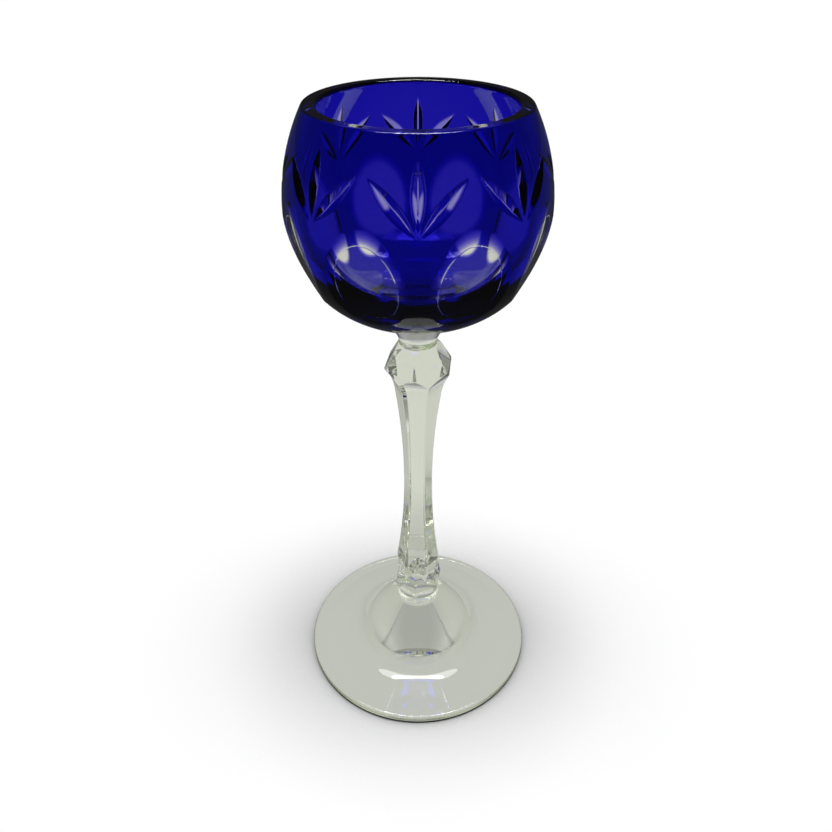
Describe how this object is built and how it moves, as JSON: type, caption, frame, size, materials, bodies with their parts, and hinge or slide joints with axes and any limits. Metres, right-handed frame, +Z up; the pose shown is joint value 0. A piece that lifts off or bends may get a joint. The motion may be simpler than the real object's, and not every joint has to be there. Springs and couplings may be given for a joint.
{
  "type": "cordial glass",
  "caption": "Small stemmed glass with a rounded, cased and cut bowl on a six-sided cut stem and a round spreading foot.",
  "frame": {"origin": "middle of the foot's rest plane on the table", "axes": "+Z up the axis of the stem and bowl, -Y towards the viewer of the picture"},
  "size_m": [0.0572, 0.0572, 0.1399],
  "materials": {
    "clear_crystal": "clear, polished",
    "cobalt_glass": "transparent deep cobalt blue, polished"
  },
  "bodies": {
    "root": {"foot": "clear_crystal", "button": "clear_crystal", "stem": "clear_crystal", "collar": "clear_crystal", "bowl_lining": "clear_crystal", "bowl_casing": "cobalt_glass"}
  },
  "joints": []
}
